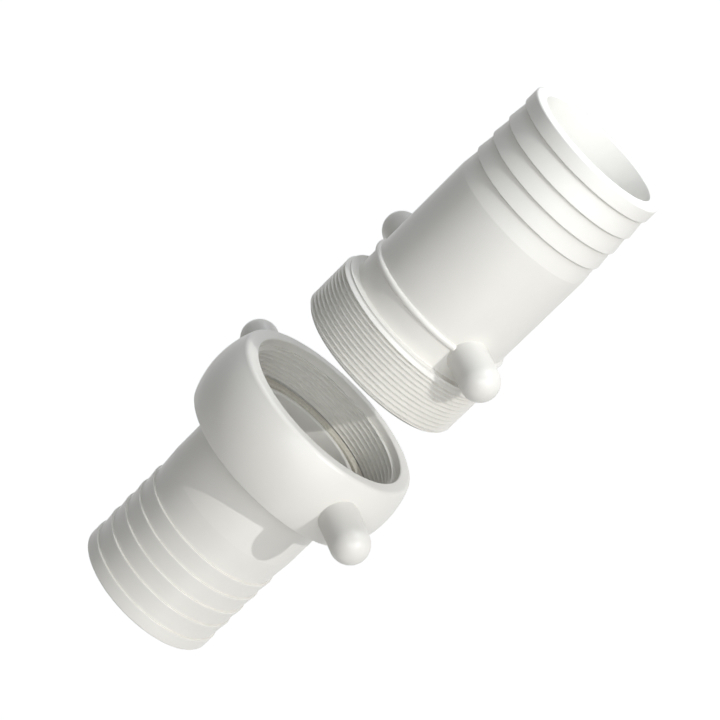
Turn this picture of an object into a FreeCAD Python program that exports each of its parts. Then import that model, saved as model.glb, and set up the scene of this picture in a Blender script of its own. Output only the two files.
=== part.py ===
import FreeCAD, Part
import Sketcher
import os
from math import sqrt, atan2

os.makedirs("parts", exist_ok=True)
doc = FreeCAD.newDocument("lugged_hose_coupling")

# Driving sizes in millimetres. X runs along the water way, from the open end of the nut-side
# hose tail to the open end of the threaded hose tail. The lugs lie along Y.
SIZES = {
    # Both hose tails, for hose of 76 mm inside
    "hose_radius": 38.0,
    "tail_wall": 6.0,
    "rim_round": 1.2,
    "bore_break": 0.4,
    "barb_depth": 1.15,
    "barb_round": 0.45,
    "barb_pitch": 10.0,
    "barb_end_run": 10.6,
    # Parallel pipe thread: 11 turns to the inch and 87.884 mm across the crests
    "thread_pitch": 2.309,
    "thread_depth": 1.4785,
    "thread_rise": 5.942,
    "thread_clearance": 0.25,
    "thread_relief": 0.08,
    "thread_bury": 0.4,
    # Nut-side tail, with the flange that the nut turns on and the nose inside the washer
    "female_land": 7.5,
    "female_last_run": 15.3,
    "flange_back": 101.3,
    "flange_thickness": 4.8,
    "flange_clearance": 0.66,
    "flange_fillet": 0.9,
    "nose_wall": 2.2,
    "nose_length": 3.1,
    # Sealing washer
    "washer_gap": 2.6,
    "washer_clearance": 0.26,
    "washer_thickness": 3.3,
    "washer_break": 0.3,
    # Swivel nut
    "nut_length": 37.6,
    "nut_back_wall": 8.6,
    "nut_play": 0.3,
    "nut_bore_clearance": 0.4,
    "nut_rear_wall": 7.3,
    "nut_front_wall": 6.75,
    "nut_barrel_radius": 47.5,
    "nut_mouth_round": 2.6,
    "nut_edge_break": 0.3,
    "nut_relief_step": 0.4,
    "nut_relief_run": 0.4,
    "nut_counterbore_step": 0.3,
    "nut_counterbore_depth": 4.0,
    "nut_lug_set": 18.55,
    "nut_lug_radius": 9.6,
    "nut_lug_reach": 20.3,
    "nut_lug_bite": 3.4,
    # Threaded tail, which lies clear of the nut
    "stand_off": 32.6,
    "male_length": 144.3,
    "male_land": 8.0,
    "male_chamfer_drop": 0.56,
    "male_chamfer_run": 2.4,
    "male_chamfer_rise": 2.45,
    "male_trim": 2.1,
    "male_thread_length": 24.35,
    "male_thread_lead": 0.526,
    "collar_rise": 0.06,
    "collar_crest": 0.38,
    "collar_slope": 1.35,
    "collar_land": 0.95,
    "neck_fillet": 0.4,
    "bead_offset": 41.4,
    "bead_radius": 1.6,
    "male_lug_offset": 41.14,
    "male_lug_radius": 9.45,
    "male_lug_reach": 16.25,
    "male_lug_bite": 2.0,
}

# Sizes and places that follow from the driving ones
DERIVED = {
    "bore_radius": "hose_radius - tail_wall",
    "barb_root_radius": "hose_radius - barb_depth",
    "barb_clear_radius": "hose_radius + barb_depth",
    "thread_crest_radius": "hose_radius + thread_rise",
    "thread_root_radius": "thread_crest_radius - thread_depth",
    "thread_crest_half": "thread_pitch / 12",
    "thread_base_half": "thread_pitch * 5 / 12",
    "nut_thread_root": "thread_crest_radius + thread_clearance",
    "nut_thread_crest": "thread_root_radius + thread_clearance",
    # nut-side tail and washer
    "female_first_step": "female_land",
    "female_inner_step": "female_land + barb_end_run",
    "female_last_step": "female_inner_step + barb_pitch * 3",
    "female_ramp_top": "female_last_step + female_last_run",
    "flange_radius": "thread_root_radius - flange_clearance",
    "flange_front": "flange_back + flange_thickness",
    "nose_radius": "bore_radius + nose_wall",
    "nose_front": "flange_front + nose_length",
    "washer_inner_radius": "nose_radius + washer_gap",
    "washer_outer_radius": "thread_root_radius - washer_clearance",
    "washer_front": "flange_front + washer_thickness",
    # swivel nut
    "nut_shoulder": "flange_back - nut_play",
    "nut_rear": "nut_shoulder - nut_back_wall",
    "nut_mouth": "nut_rear + nut_length",
    "nut_bore_radius": "hose_radius + nut_bore_clearance",
    "nut_rear_radius": "nut_thread_root + nut_rear_wall",
    "nut_front_radius": "nut_thread_root + nut_front_wall",
    "nut_relief_radius": "nut_thread_root + nut_relief_step",
    "nut_relief_end": "flange_front + nut_relief_run",
    "nut_counterbore_radius": "nut_thread_root + nut_counterbore_step",
    "nut_counterbore_end": "nut_mouth - nut_counterbore_depth",
    "nut_lug_plane": "nut_rear + nut_lug_set",
    "nut_lug_centre": "nut_rear_radius + nut_lug_reach",
    "nut_lug_foot": "nut_relief_radius + nut_lug_bite",
    # threaded tail
    "male_front": "nut_mouth + stand_off",
    "male_end": "male_front + male_length",
    "male_first_step": "male_end - male_land",
    "male_inner_step": "male_first_step - barb_end_run - barb_pitch * 2",
    "male_chamfer_low": "thread_root_radius - male_chamfer_drop",
    "male_chamfer_high": "male_chamfer_low + male_chamfer_rise",
    "male_thread_start": "male_front - male_thread_lead",
    "collar_radius": "thread_crest_radius + collar_rise",
    "collar_back": "male_front + male_thread_length",
    "collar_top": "collar_back + thread_base_half - thread_crest_half",
    "collar_edge": "collar_top + collar_crest",
    "collar_step": "collar_edge + collar_slope",
    "collar_front": "collar_step + collar_land",
    "male_thread_travel": "(collar_top + collar_edge + collar_rise) / 2 - male_thread_start",
    "bead_plane": "male_front + bead_offset",
    "male_lug_plane": "male_front + male_lug_offset",
    "male_lug_centre": "hose_radius + male_lug_reach",
    "male_lug_foot": "bore_radius + male_lug_bite",
    # the nut's ridge lies half a turn out of step with the tail's, so the two threads mesh
    "thread_room": "male_thread_start - nut_relief_end - thread_base_half",
    "thread_turns_apart": "floor(thread_room / thread_pitch - 0.5) + 0.5",
    "nut_thread_start": "male_thread_start - thread_turns_apart * thread_pitch",
    "nut_thread_travel": "nut_counterbore_end + thread_base_half - nut_thread_start",
}
INNER_BARBS = 3
# Two places nearer than this are one place
SAME_PLACE = 0.001

sheet = doc.addObject("Spreadsheet::Sheet", "dims")
for row, (word, number) in enumerate(SIZES.items(), start=1):
    sheet.set("A%d" % row, word)
    sheet.set("B%d" % row, repr(number))
    sheet.setAlias("B%d" % row, word)
for row, (word, rule) in enumerate(DERIVED.items(), start=1):
    sheet.set("D%d" % row, word)
    sheet.set("E%d" % row, "=" + rule)
    sheet.setAlias("E%d" % row, word)
doc.recompute()


def amount(text):
    """Value of a sum of the sheet's sizes, such as 'nut_mouth - bore_break'."""
    total = 0.0
    sign = 1.0
    for word in text.split():
        if word in ("+", "-"):
            sign = 1.0 if word == "+" else -1.0
        else:
            total += sign * float(sheet.get(word))
    return total


def formula(text):
    """The same sum as an expression on the sheet."""
    words = [word if word in ("+", "-") else "dims." + word for word in text.split()]
    return " ".join(words)


def origin_part(body, role):
    return [item for item in body.Origin.OriginFeatures if item.Role == role][0]


def new_body(name):
    body = doc.addObject("PartDesign::Body", name)
    body.Label = name
    return body


def arc_between(start, end, radius, side):
    """Arc of a given radius; side +1 keeps its centre to the left of start to end."""
    middle = (start + end) * 0.5
    chord = end - start
    half = chord.Length / 2.0
    left = FreeCAD.Vector(-chord.y, chord.x, 0).normalize()
    centre = middle + left * (side * sqrt(max(radius * radius - half * half, 0.0)))
    first, last = (start, end) if side > 0 else (end, start)
    low = atan2(first.y - centre.y, first.x - centre.x)
    high = atan2(last.y - centre.y, last.x - centre.x)
    circle = Part.Circle(centre, FreeCAD.Vector(0, 0, 1), radius)
    return Part.ArcOfCircle(circle, low, high)


def hold(sketch, kind, item, point, text):
    """Holds a point's distance from the sketch's origin to a sum of the sheet's sizes."""
    number = sketch.addConstraint(
        Sketcher.Constraint(kind, -1, 1, item, point, amount(text)))
    sketch.setExpression("Constraints[%d]" % number, formula(text))


def outline(body, name, corners, arcs=None, centre_line=None):
    """Closed sketch on the XY plane, with every corner held by two sums of sizes.

    An empty X lies on the Y axis. arcs gives, by the number of the corner that it starts
    from, (radius, side). centre_line is the X place of an upright axis to turn about.
    """
    arcs = arcs or {}
    sketch = body.newObject("Sketcher::SketchObject", name)
    sketch.AttachmentSupport = [(origin_part(body, "XY_Plane"), "")]
    sketch.MapMode = "FlatFace"
    points = [FreeCAD.Vector(amount(x), amount(y), 0) for x, y in corners]
    ends = []
    for index, start in enumerate(points):
        end = points[(index + 1) % len(points)]
        if index in arcs:
            radius, side = arcs[index]
            item = sketch.addGeometry(arc_between(start, end, amount(radius), side), False)
            ends.append((item, 1, 2) if side > 0 else (item, 2, 1))
        else:
            item = sketch.addGeometry(Part.LineSegment(start, end), False)
            ends.append((item, 1, 2))
    for index, (item, first, last) in enumerate(ends):
        after, after_first, after_last = ends[(index + 1) % len(ends)]
        sketch.addConstraint(Sketcher.Constraint("Coincident", item, last, after, after_first))
    for (x, y), (item, first, last) in zip(corners, ends):
        if x:
            hold(sketch, "DistanceX", item, first, x)
        else:
            sketch.addConstraint(Sketcher.Constraint("PointOnObject", item, first, -2))
        hold(sketch, "DistanceY", item, first, y)
    for index, (radius, side) in arcs.items():
        number = sketch.addConstraint(
            Sketcher.Constraint("Radius", ends[index][0], amount(radius)))
        sketch.setExpression("Constraints[%d]" % number, formula(radius))
    if centre_line:
        foot = FreeCAD.Vector(amount(centre_line), 0, 0)
        top = FreeCAD.Vector(amount(centre_line), points[-1].y, 0)
        line = sketch.addGeometry(Part.LineSegment(foot, top), True)
        sketch.addConstraint(Sketcher.Constraint("Vertical", line))
        sketch.addConstraint(Sketcher.Constraint("PointOnObject", line, 1, -1))
        hold(sketch, "DistanceX", line, 1, centre_line)
    sketch.Visibility = False
    return sketch


def turned(body, name, sketch, kind="PartDesign::Revolution", about="H_Axis"):
    """A sketch turned once round the X axis, or round its own centre line."""
    feature = body.newObject(kind, name)
    feature.Profile = sketch
    feature.ReferenceAxis = (sketch, [about])
    feature.Angle = 360.0
    doc.recompute()
    return feature


def rounded(body, name, base, place, radius, size):
    """Fillet on the turned edge that lies at an X place and a radius of the base feature."""
    aim = FreeCAD.Vector(amount(place), 0, 0)
    found = [
        "Edge%d" % number for number, edge in enumerate(base.Shape.Edges, start=1)
        if isinstance(edge.Curve, Part.Circle)
        and edge.Curve.Center.isEqual(aim, SAME_PLACE)
        and abs(edge.Curve.Radius - amount(radius)) < SAME_PLACE
    ]
    fillet = body.newObject("PartDesign::Fillet", name)
    fillet.Base = (base, found)
    fillet.Radius = amount(size)
    fillet.setExpression("Radius", formula(size))
    doc.recompute()
    return fillet


def barb_cut(body, name, step, top, facing):
    """Turned cut behind one barb: a steep step, and a ramp up to the next crest.

    facing is +1 where the step looks along +X. The crest at each end is rounded.
    """
    back = " - barb_round" if facing > 0 else " + barb_round"
    corners = [
        (step, "barb_root_radius"),
        (step, "hose_radius - barb_round"),
        (step + back, "hose_radius"),
        (step + back, "barb_clear_radius"),
        (top + back, "barb_clear_radius"),
        (top + back, "hose_radius"),
    ]
    sketch = outline(body, name + "_section", corners, {1: ("barb_round", facing)})
    return turned(body, name, sketch, "PartDesign::Groove")


def barb_row(body, name, cut):
    """The inner barbs: copies of one cut, a barb's pitch apart along X."""
    pattern = body.newObject("PartDesign::LinearPattern", name)
    pattern.Originals = [cut]
    pattern.Direction = (origin_part(body, "X_Axis"), [""])
    body.Tip = pattern
    pattern.Occurrences = INNER_BARBS
    pattern.Length = amount("barb_pitch") * (INNER_BARBS - 1)
    pattern.setExpression("Length", "dims.barb_pitch * %d" % (INNER_BARBS - 1))
    doc.recompute()
    return pattern


def thread_ridge(body, name, middle, trim, buried, base, crest, travel):
    """Right-hand helical ridge with 55 degree flanks, merged with the wall that it grows from.

    middle is the ridge's X place at its start. buried, base and crest are the radii of its
    foot inside the wall, of the wall and of its crest. trim narrows each flank.
    """
    corners = [
        (middle + " - thread_base_half" + trim, buried),
        (middle + " - thread_base_half" + trim, base),
        (middle + " - thread_crest_half" + trim, crest),
        (middle + " + thread_crest_half" + trim.replace("+", "-"), crest),
        (middle + " + thread_base_half" + trim.replace("+", "-"), base),
        (middle + " + thread_base_half" + trim.replace("+", "-"), buried),
    ]
    sketch = outline(body, name + "_section", corners)
    ridge = body.newObject("PartDesign::AdditiveHelix", name)
    ridge.Profile = sketch
    ridge.ReferenceAxis = (sketch, ["H_Axis"])
    ridge.Mode = 0
    ridge.Pitch = amount("thread_pitch")
    ridge.Height = amount(travel)
    ridge.setExpression("Pitch", formula("thread_pitch"))
    ridge.setExpression("Height", formula(travel))
    ridge.Angle = 0.0
    ridge.LeftHanded = False
    ridge.Reversed = False
    doc.recompute()
    return ridge


def lug_pair(body, name, plane, radius, centre, foot):
    """Two round lugs with half-ball ends, one to each side along Y."""
    corners = [
        (plane, foot),
        (plane + " + " + radius, foot),
        (plane + " + " + radius, centre),
        (plane, centre + " + " + radius),
    ]
    sketch = outline(body, name + "_section", corners, {2: (radius, 1)}, plane)
    lug = turned(body, name, sketch, about="Axis0")
    pair = body.newObject("PartDesign::Mirrored", name + "_pair")
    pair.Originals = [lug]
    pair.MirrorPlane = (origin_part(body, "XZ_Plane"), [""])
    body.Tip = pair
    doc.recompute()
    return pair


def make_female_tail():
    """Barbed tube with the nut's flange and the nose that stands inside the washer."""
    tail = new_body("female_hose_tail")
    section = outline(tail, "female_section", [
        ("", "hose_radius - rim_round"),
        ("rim_round", "hose_radius"),
        ("flange_back - flange_fillet", "hose_radius"),
        ("flange_back", "hose_radius + flange_fillet"),
        ("flange_back", "flange_radius"),
        ("flange_front", "flange_radius"),
        ("flange_front", "nose_radius"),
        ("nose_front", "nose_radius"),
        ("nose_front", "bore_radius + bore_break"),
        ("nose_front - bore_break", "bore_radius"),
        ("bore_break", "bore_radius"),
        ("", "bore_radius + bore_break"),
    ], {0: ("rim_round", -1), 2: ("flange_fillet", 1)})
    turned(tail, "female_tube", section)
    barb_cut(tail, "female_end_barb", "female_first_step", "female_inner_step", 1)
    inner = barb_cut(tail, "female_inner_barb", "female_inner_step",
                     "female_inner_step + barb_pitch", 1)
    barb_row(tail, "female_inner_barbs", inner)
    barb_cut(tail, "female_long_ramp", "female_last_step", "female_ramp_top", 1)
    return tail


def make_washer():
    """Flat ring that lies on the flange's face."""
    washer = new_body("sealing_washer")
    section = outline(washer, "washer_section", [
        ("flange_front", "washer_inner_radius"),
        ("washer_front - washer_break", "washer_inner_radius"),
        ("washer_front", "washer_inner_radius + washer_break"),
        ("washer_front", "washer_outer_radius - washer_break"),
        ("washer_front - washer_break", "washer_outer_radius"),
        ("flange_front", "washer_outer_radius"),
    ])
    turned(washer, "washer_ring", section)
    return washer


def make_nut():
    """Barrel-shaped nut with a shouldered bore, the inner thread and two lugs."""
    nut = new_body("swivel_nut")
    section = outline(nut, "nut_section", [
        ("nut_rear", "nut_bore_radius + nut_edge_break"),
        ("nut_rear", "nut_rear_radius - nut_edge_break"),
        ("nut_rear + nut_edge_break", "nut_rear_radius"),
        ("nut_mouth", "nut_front_radius"),
        ("nut_mouth", "nut_thread_root"),
        ("nut_relief_end", "nut_thread_root"),
        ("nut_relief_end", "nut_relief_radius"),
        ("nut_shoulder", "nut_relief_radius"),
        ("nut_shoulder", "nut_bore_radius"),
        ("nut_rear + nut_edge_break", "nut_bore_radius"),
    ], {2: ("nut_barrel_radius", -1)})
    barrel = turned(nut, "nut_barrel", section)
    rounded(nut, "nut_mouth_edge", barrel, "nut_mouth", "nut_front_radius", "nut_mouth_round")
    thread_ridge(nut, "nut_thread", "nut_thread_start", " + thread_relief",
                 "nut_thread_root + thread_bury", "nut_thread_root", "nut_thread_crest",
                 "nut_thread_travel")
    counterbore = outline(nut, "nut_counterbore_section", [
        ("nut_counterbore_end", "bore_radius"),
        ("nut_counterbore_end", "nut_counterbore_radius"),
        ("nut_mouth - bore_break", "nut_counterbore_radius"),
        ("nut_mouth + bore_break", "nut_counterbore_radius + bore_break + bore_break"),
        ("nut_mouth + bore_break", "bore_radius"),
    ])
    turned(nut, "nut_counterbore", counterbore, "PartDesign::Groove")
    lug_pair(nut, "nut_lug", "nut_lug_plane", "nut_lug_radius", "nut_lug_centre",
             "nut_lug_foot")
    return nut


def make_male_tail():
    """Barbed tube with the outer thread, its collar, a half-round bead and two lugs."""
    male = new_body("male_hose_tail")
    section = outline(male, "male_section", [
        ("male_front", "bore_radius + bore_break"),
        ("male_front", "thread_root_radius"),
        ("collar_back", "thread_root_radius"),
        ("collar_top", "collar_radius"),
        ("collar_edge", "collar_radius"),
        ("collar_step", "thread_root_radius"),
        ("collar_front", "thread_root_radius"),
        ("collar_front", "hose_radius + neck_fillet"),
        ("collar_front + neck_fillet", "hose_radius"),
        ("bead_plane - bead_radius", "hose_radius"),
        ("bead_plane", "hose_radius + bead_radius"),
        ("bead_plane + bead_radius", "hose_radius"),
        ("male_end - rim_round", "hose_radius"),
        ("male_end", "hose_radius - rim_round"),
        ("male_end", "bore_radius + bore_break"),
        ("male_end - bore_break", "bore_radius"),
        ("male_front + bore_break", "bore_radius"),
    ], {7: ("neck_fillet", 1), 9: ("bead_radius", -1), 10: ("bead_radius", -1),
        12: ("rim_round", -1)})
    turned(male, "male_tube", section)
    thread_ridge(male, "male_thread", "male_thread_start", "",
                 "thread_root_radius - thread_bury", "thread_root_radius",
                 "thread_crest_radius", "male_thread_travel")
    front = outline(male, "male_chamfer_section", [
        ("male_front - male_trim", "male_chamfer_low - male_trim"),
        ("male_front", "male_chamfer_low - male_trim"),
        ("male_front", "male_chamfer_low"),
        ("male_front + male_chamfer_run", "male_chamfer_high"),
        ("male_front - male_trim", "male_chamfer_high"),
    ])
    turned(male, "male_chamfer", front, "PartDesign::Groove")
    lug_pair(male, "male_lug", "male_lug_plane", "male_lug_radius", "male_lug_centre",
             "male_lug_foot")
    barb_cut(male, "male_end_barb", "male_first_step", "male_first_step - barb_end_run", -1)
    inner = barb_cut(male, "male_inner_barb", "male_inner_step",
                     "male_inner_step - barb_pitch", -1)
    barb_row(male, "male_inner_barbs", inner)
    return male


bodies = [make_female_tail(), make_washer(), make_nut(), make_male_tail()]
doc.recompute()
for item in doc.Objects:
    if "Invalid" in item.State or "Error" in item.State:
        raise RuntimeError("%s is not valid: %s" % (item.Name, item.State))
for body in bodies:
    shape = body.Shape
    if shape.isNull() or not shape.isValid() or len(shape.Solids) != 1:
        raise RuntimeError(body.Name + " has no single valid solid")
    print("%s volume %.2f mm3" % (body.Name, shape.Volume))
    shape.exportStep("parts/%s.step" % body.Label)
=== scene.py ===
from math import radians

import bpy
from mathutils import Matrix, Vector


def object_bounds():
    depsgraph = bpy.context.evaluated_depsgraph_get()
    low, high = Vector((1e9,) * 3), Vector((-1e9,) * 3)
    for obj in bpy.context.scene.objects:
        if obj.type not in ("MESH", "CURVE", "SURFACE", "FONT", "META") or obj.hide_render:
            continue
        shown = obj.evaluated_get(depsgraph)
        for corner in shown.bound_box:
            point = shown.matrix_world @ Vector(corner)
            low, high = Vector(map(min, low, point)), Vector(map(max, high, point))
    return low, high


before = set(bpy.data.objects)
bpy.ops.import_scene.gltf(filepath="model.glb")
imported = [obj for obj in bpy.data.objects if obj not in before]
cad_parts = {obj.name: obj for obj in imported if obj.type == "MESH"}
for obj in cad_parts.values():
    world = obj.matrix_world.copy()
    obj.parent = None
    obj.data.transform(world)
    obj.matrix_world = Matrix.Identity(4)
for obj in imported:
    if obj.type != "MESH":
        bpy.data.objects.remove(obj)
cad_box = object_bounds()

# Camera: where the photograph was taken from, in metres, and its right and up directions
CAMERA_PLACE = Vector((0.55923, -0.87781, 0.81692))
CAMERA_RIGHT = Vector((0.67703078, -0.30697, -0.66889))
CAMERA_UP = Vector((0.66387627, 0.64701, 0.37504))
LENS_MM = 137.21
SENSOR_MM = 36.0
CLIP_NEAR = 0.05
CLIP_FAR = 20.0

# Far lamps: name, direction towards the lamp, strength, width across in degrees and colour.
# The last four shine up from below the horizon, and the floor stops much of their light.
FAR_LAMPS = (
    ("key", (0.709, -0.705, -0.008), 1.25, 0.7, (1.0, 0.99, 0.98)),
    ("front", (0.318, -0.698, 0.642), 0.44, 20.0, (0.90, 0.96, 1.0)),
    ("side", (0.40, -0.86, 0.30), 0.80, 45.0, (0.96, 0.96, 1.0)),
    ("low_front", (0.0, -0.95, -0.2), 0.70, 90.0, (1.0, 0.97, 0.88)),
    ("low_left", (-0.70, -0.60, -0.30), 0.85, 45.0, (1.0, 1.0, 1.0)),
    ("back_right", (0.85, 0.45, -0.27), 1.80, 60.0, (0.87, 0.93, 1.0)),
    ("behind", (-0.80, 0.50, -0.33), 1.00, 40.0, (1.0, 0.99, 0.97)),
)

# Near lamp beside the threaded half's hose end: direction and distance from that end, in metres
SPOT_DIRECTION = (0.8, -0.5, 0.25)
SPOT_DISTANCE = 0.12
SPOT_WATTS = 0.150
SPOT_WIDTH = 0.10
SPOT_COLOUR = (0.86, 0.92, 1.0)

# World and floor: the surround's strength as a light, and how far below the object the floor lies
SURROUND = 0.18
FLOOR_DROP = 0.45
FLOOR_HALF = 3.0
FLOOR_GLOW = 0.70
FLOOR_COLOUR = (0.85, 0.85, 0.85, 1.0)
FLOOR_ROUGHNESS = 0.9
WHITE = (1.0, 1.0, 1.0, 1.0)

# Moulded plastic: its two colours, the scales of its textures and the relief of its skin,
# which is the bump's strength and its height in metres
PLASTIC_PALE = (0.80, 0.785, 0.74)
PLASTIC_DARKER = (0.775, 0.76, 0.715)
PLASTIC_SPECULAR = 0.5
MOTTLE_SCALE = 38.0
MOTTLE_DETAIL = 5.0
SATIN_SCALE = 90.0
SATIN_DETAIL = 3.0
SATIN_ROUGHNESS = (0.30, 0.38)
SKIN_SCALE = 1400.0
SKIN_DETAIL = 3.0
SKIN_RELIEF = (0.06, 0.00005)

# Washer, in the same terms
WASHER_PALE = (0.72, 0.69, 0.61)
WASHER_DARKER = (0.54, 0.51, 0.43)
WASHER_ROUGHNESS = 0.85
SPECKLE_SCALE = 900.0
SPECKLE_DETAIL = 6.0
SPECKLE_ROUGHNESS = 0.7
SPECKLE_RELIEF = (0.5, 0.0003)

# Texture values between which a colour ramp runs
RAMP_START = 0.3
RAMP_END = 0.7


def new_material(name):
    """A node material, with its nodes, its links and its Principled shader."""
    material = bpy.data.materials.new(name)
    material.use_nodes = True
    nodes = material.node_tree.nodes
    shader = nodes["Principled BSDF"]
    return material, nodes, material.node_tree.links, shader


def noise(nodes, links, coords, scale, detail, roughness=0.55):
    """A noise texture on object coordinates, so the grain keeps its real size."""
    texture = nodes.new("ShaderNodeTexNoise")
    texture.inputs["Scale"].default_value = scale
    texture.inputs["Detail"].default_value = detail
    texture.inputs["Roughness"].default_value = roughness
    links.new(coords.outputs["Object"], texture.inputs["Vector"])
    return texture


def ramp(nodes, links, source, low, high):
    """Maps a texture's value to a run between two colours."""
    colours = nodes.new("ShaderNodeValToRGB")
    colours.color_ramp.elements[0].position = RAMP_START
    colours.color_ramp.elements[0].color = (*low, 1.0)
    colours.color_ramp.elements[1].position = RAMP_END
    colours.color_ramp.elements[1].color = (*high, 1.0)
    links.new(source, colours.inputs["Fac"])
    return colours


def spread(nodes, links, source, low, high):
    """Maps a 0 to 1 value to a run between two numbers."""
    mapping = nodes.new("ShaderNodeMapRange")
    mapping.inputs["To Min"].default_value = low
    mapping.inputs["To Max"].default_value = high
    links.new(source, mapping.inputs["Value"])
    return mapping


def grain(nodes, links, shader, height, strength, distance):
    """Turns a texture's value into a fine relief of the surface."""
    bump = nodes.new("ShaderNodeBump")
    bump.inputs["Strength"].default_value = strength
    bump.inputs["Distance"].default_value = distance
    links.new(height, bump.inputs["Height"])
    links.new(bump.outputs["Normal"], shader.inputs["Normal"])


def moulded_plastic():
    """Warm pale moulded plastic: soft flow mottling, an even satin and a very fine grain."""
    material, nodes, links, shader = new_material("moulded_plastic")
    coords = nodes.new("ShaderNodeTexCoord")
    mottle = noise(nodes, links, coords, MOTTLE_SCALE, MOTTLE_DETAIL)
    colours = ramp(nodes, links, mottle.outputs["Fac"], PLASTIC_DARKER, PLASTIC_PALE)
    links.new(colours.outputs["Color"], shader.inputs["Base Color"])
    satin = noise(nodes, links, coords, SATIN_SCALE, SATIN_DETAIL)
    rough = spread(nodes, links, satin.outputs["Fac"], *SATIN_ROUGHNESS)
    links.new(rough.outputs["Result"], shader.inputs["Roughness"])
    skin = noise(nodes, links, coords, SKIN_SCALE, SKIN_DETAIL)
    grain(nodes, links, shader, skin.outputs["Fac"], *SKIN_RELIEF)
    shader.inputs["Specular IOR Level"].default_value = PLASTIC_SPECULAR
    return material


def washer_rubber():
    """Matte beige washer sheet with a fine, slightly open texture."""
    material, nodes, links, shader = new_material("washer_rubber")
    coords = nodes.new("ShaderNodeTexCoord")
    speckle = noise(nodes, links, coords, SPECKLE_SCALE, SPECKLE_DETAIL, SPECKLE_ROUGHNESS)
    colours = ramp(nodes, links, speckle.outputs["Fac"], WASHER_DARKER, WASHER_PALE)
    links.new(colours.outputs["Color"], shader.inputs["Base Color"])
    grain(nodes, links, shader, speckle.outputs["Fac"], *SPECKLE_RELIEF)
    shader.inputs["Roughness"].default_value = WASHER_ROUGHNESS
    return material


def dress(node, material):
    """Gives a CAD node its finish."""
    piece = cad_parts[node]
    piece.data.materials.clear()
    piece.data.materials.append(material)


def add_camera():
    """Camera at the photograph's place and roll."""
    data = bpy.data.cameras.new("camera")
    data.lens = LENS_MM
    data.sensor_width = SENSOR_MM
    data.clip_start = CLIP_NEAR
    data.clip_end = CLIP_FAR
    camera = bpy.data.objects.new("camera", data)
    bpy.context.scene.collection.objects.link(camera)
    right = CAMERA_RIGHT.normalized()
    up = (CAMERA_UP - right * CAMERA_UP.dot(right)).normalized()
    back = right.cross(up)
    turn = Matrix((right, up, back)).transposed().to_4x4()
    camera.matrix_world = Matrix.Translation(CAMERA_PLACE) @ turn
    bpy.context.scene.camera = camera


def seen_white(nodes, links):
    """One where a camera, glossy or transmission ray looks, and nought for the light itself."""
    paths = nodes.new("ShaderNodeLightPath")
    total = paths.outputs["Is Camera Ray"]
    for kind in ("Is Glossy Ray", "Is Transmission Ray"):
        both = nodes.new("ShaderNodeMath")
        both.operation = "MAXIMUM"
        links.new(total, both.inputs[0])
        links.new(paths.outputs[kind], both.inputs[1])
        total = both.outputs["Value"]
    return total


def add_floor():
    """Plain pale floor, well below the object, which still takes its shadow."""
    low = cad_box[0][2] - FLOOR_DROP
    half = FLOOR_HALF
    mesh = bpy.data.meshes.new("floor")
    corners = [(-half, -half, low), (half, -half, low), (half, half, low), (-half, half, low)]
    mesh.from_pydata(corners, [], [(0, 1, 2, 3)])
    floor = bpy.data.objects.new("floor", mesh)
    bpy.context.scene.collection.objects.link(floor)
    material, nodes, links, shader = new_material("floor_white")
    shader.inputs["Base Color"].default_value = FLOOR_COLOUR
    shader.inputs["Roughness"].default_value = FLOOR_ROUGHNESS
    shader.inputs["Emission Color"].default_value = WHITE
    glow = nodes.new("ShaderNodeMath")
    glow.operation = "MULTIPLY"
    links.new(seen_white(nodes, links), glow.inputs[0])
    glow.inputs[1].default_value = FLOOR_GLOW
    links.new(glow.outputs["Value"], shader.inputs["Emission Strength"])
    floor.data.materials.append(material)


def aim(lamp, direction):
    """Turns a lamp so that it shines from the given direction, and links it, unseen by the camera."""
    lamp.rotation_mode = "QUATERNION"
    lamp.rotation_quaternion = direction.to_track_quat("Z", "Y")
    lamp.visible_camera = False
    bpy.context.scene.collection.objects.link(lamp)


def far_lamp(name, direction, strength, width, colour):
    """A lamp so far away that its light is parallel, soft by its width in degrees."""
    data = bpy.data.lights.new(name, "SUN")
    data.energy = strength
    data.angle = radians(width)
    data.color = colour
    aim(bpy.data.objects.new(name, data), Vector(direction))


def near_lamp():
    """A round softbox beside the threaded half's hose end."""
    data = bpy.data.lights.new("end_spot", "AREA")
    data.shape = "DISK"
    data.size = SPOT_WIDTH
    data.energy = SPOT_WATTS
    data.color = SPOT_COLOUR
    lamp = bpy.data.objects.new("end_spot", data)
    direction = Vector(SPOT_DIRECTION)
    hose_end = Vector((cad_box[1][0], 0.0, 0.0))
    lamp.location = hose_end + direction.normalized() * SPOT_DISTANCE
    aim(lamp, direction)


def add_world():
    """Even white surround: a low light of its own, and white wherever it is seen."""
    world = bpy.data.worlds.new("studio")
    bpy.context.scene.world = world
    world.use_nodes = True
    world.cycles.sampling_method = "NONE"
    nodes = world.node_tree.nodes
    links = world.node_tree.links
    light = nodes["Background"]
    light.inputs["Color"].default_value = WHITE
    light.inputs["Strength"].default_value = SURROUND
    seen = nodes.new("ShaderNodeBackground")
    seen.inputs["Color"].default_value = WHITE
    seen.inputs["Strength"].default_value = 1.0
    mix = nodes.new("ShaderNodeMixShader")
    links.new(seen_white(nodes, links), mix.inputs["Fac"])
    links.new(light.outputs["Background"], mix.inputs[1])
    links.new(seen.outputs["Background"], mix.inputs[2])
    links.new(mix.outputs["Shader"], nodes["World Output"].inputs["Surface"])


bpy.context.scene.view_settings.view_transform = "Standard"
plastic = moulded_plastic()
rubber = washer_rubber()
for node in ("female_hose_tail", "swivel_nut", "male_hose_tail"):
    dress(node, plastic)
dress("sealing_washer", rubber)
add_camera()
add_floor()
for row in FAR_LAMPS:
    far_lamp(*row)
near_lamp()
add_world()
